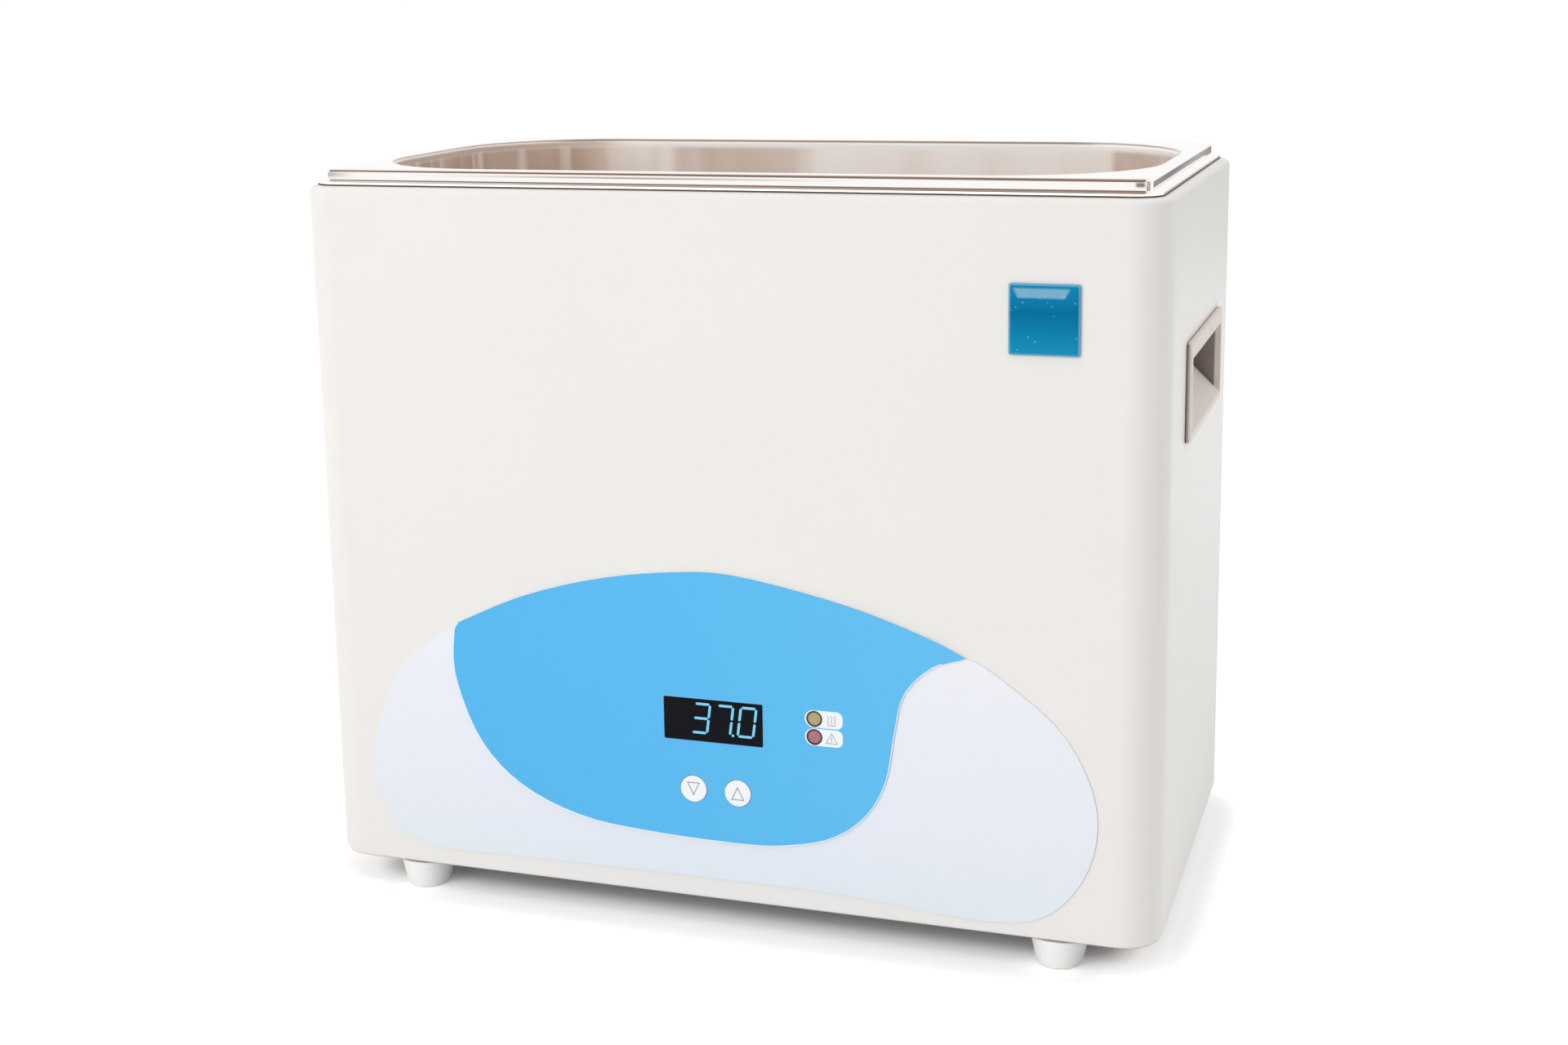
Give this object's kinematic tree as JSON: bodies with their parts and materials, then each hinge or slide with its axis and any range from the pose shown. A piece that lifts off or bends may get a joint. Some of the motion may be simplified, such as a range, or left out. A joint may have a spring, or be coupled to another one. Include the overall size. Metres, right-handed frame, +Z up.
{
  "type": "laboratory water bath",
  "caption": "Bench water bath with a pressed steel tank and lift-out perforated shelf in a painted sheet casing, with a digital controller on the front.",
  "frame": {"origin": "middle of the bounding box's underside, on the bench between the feet", "axes": "+Z up, the control panel faces -Y, +X to the right as seen from the front"},
  "size_m": [0.339, 0.195, 0.2908],
  "materials": {
    "paint": "off-white powder coat, satin",
    "steel": "stainless steel, smooth and bright",
    "handle_plastic": "light warm grey, moulded",
    "foot_rubber": "off-white, firm",
    "plated_steel": "bright zinc plate",
    "field_print": "printed film, pale grey to pale blue",
    "leaf_print": "printed film, sky blue with a white edge",
    "dark_window": "smoked window over the digits",
    "key_plastic": "white, thin grey outline of a triangle",
    "amber_lens": "amber lens, unlit",
    "red_lens": "red lens, unlit",
    "black_plastic": "black, moulded",
    "circuit_board": "green solder mask",
    "silicone": "red silicone heater mat",
    "mineral_wool": "pale wool board",
    "alloy": "extruded, plain",
    "badge_resin": "clear domed resin over plain blue"
  },
  "bodies": {
    "bath": {"casing": "paint", "base_plate": "plated_steel", "foot_front_left": "foot_rubber", "foot_front_right": "foot_rubber", "foot_rear_left": "foot_rubber", "foot_rear_right": "foot_rubber", "foot_screw_front_left": "plated_steel", "foot_screw_front_right": "plated_steel", "foot_screw_rear_left": "plated_steel", "foot_screw_rear_right": "plated_steel", "tank": "steel", "handle_right": "handle_plastic", "handle_left": "handle_plastic", "field_film": "field_print", "leaf_film": "leaf_print", "display_window": "dark_window", "display_module": "black_plastic", "key_switch_down": "black_plastic", "key_switch_up": "black_plastic", "heat_lamp_ring": "black_plastic", "heat_lamp": "amber_lens", "alarm_lamp_ring": "black_plastic", "alarm_lamp": "red_lens", "control_board": "circuit_board", "board_spacer_1": "plated_steel", "board_spacer_2": "plated_steel", "board_spacer_3": "plated_steel", "board_spacer_4": "plated_steel", "heater_mat": "silicone", "temperature_probe": "steel", "probe_clip": "plated_steel", "thermal_cutout": "black_plastic", "insulation": "mineral_wool", "heat_sink": "alloy", "power_relay": "black_plastic", "rear_panel": "paint", "panel_screw_1": "plated_steel", "panel_screw_2": "plated_steel", "panel_screw_3": "plated_steel", "panel_screw_4": "plated_steel", "panel_screw_5": "plated_steel", "panel_screw_6": "plated_steel", "mains_inlet": "black_plastic", "switch_bezel": "black_plastic", "badge": "badge_resin"},
    "shelf": {"tank_shelf": "steel", "shelf_leg_1": "steel", "shelf_leg_2": "steel", "shelf_leg_3": "steel", "shelf_leg_4": "steel"},
    "down_key": {"key_down": "key_plastic"},
    "up_key": {"key_up": "key_plastic"},
    "rocker": {"switch_rocker": "black_plastic"},
    "fuse_holder": {"fuse_drawer": "black_plastic", "fuse": "plated_steel"}
  },
  "joints": [
    {"name": "shelf_lift", "type": "slide", "parent": "bath", "child": "shelf", "axis": [0, 0, 1], "range_m": [0, 0.165]},
    {"name": "down_key_press", "type": "slide", "parent": "bath", "child": "down_key", "axis": [0, 1, 0], "range_m": [0, 0.0008], "stiffness_N_per_m": 400},
    {"name": "up_key_press", "type": "slide", "parent": "bath", "child": "up_key", "axis": [0, 1, 0], "range_m": [0, 0.0008], "stiffness_N_per_m": 400},
    {"name": "rocker_pivot", "type": "hinge", "parent": "bath", "child": "rocker", "pos_m": [0.04, 0.09169, 0.066], "axis": [1, 0, 0], "range_deg": [0, 16]},
    {"name": "fuse_drawer_slide", "type": "slide", "parent": "bath", "child": "fuse_holder", "axis": [0, 1, 0], "range_m": [0, 0.014]}
  ]
}
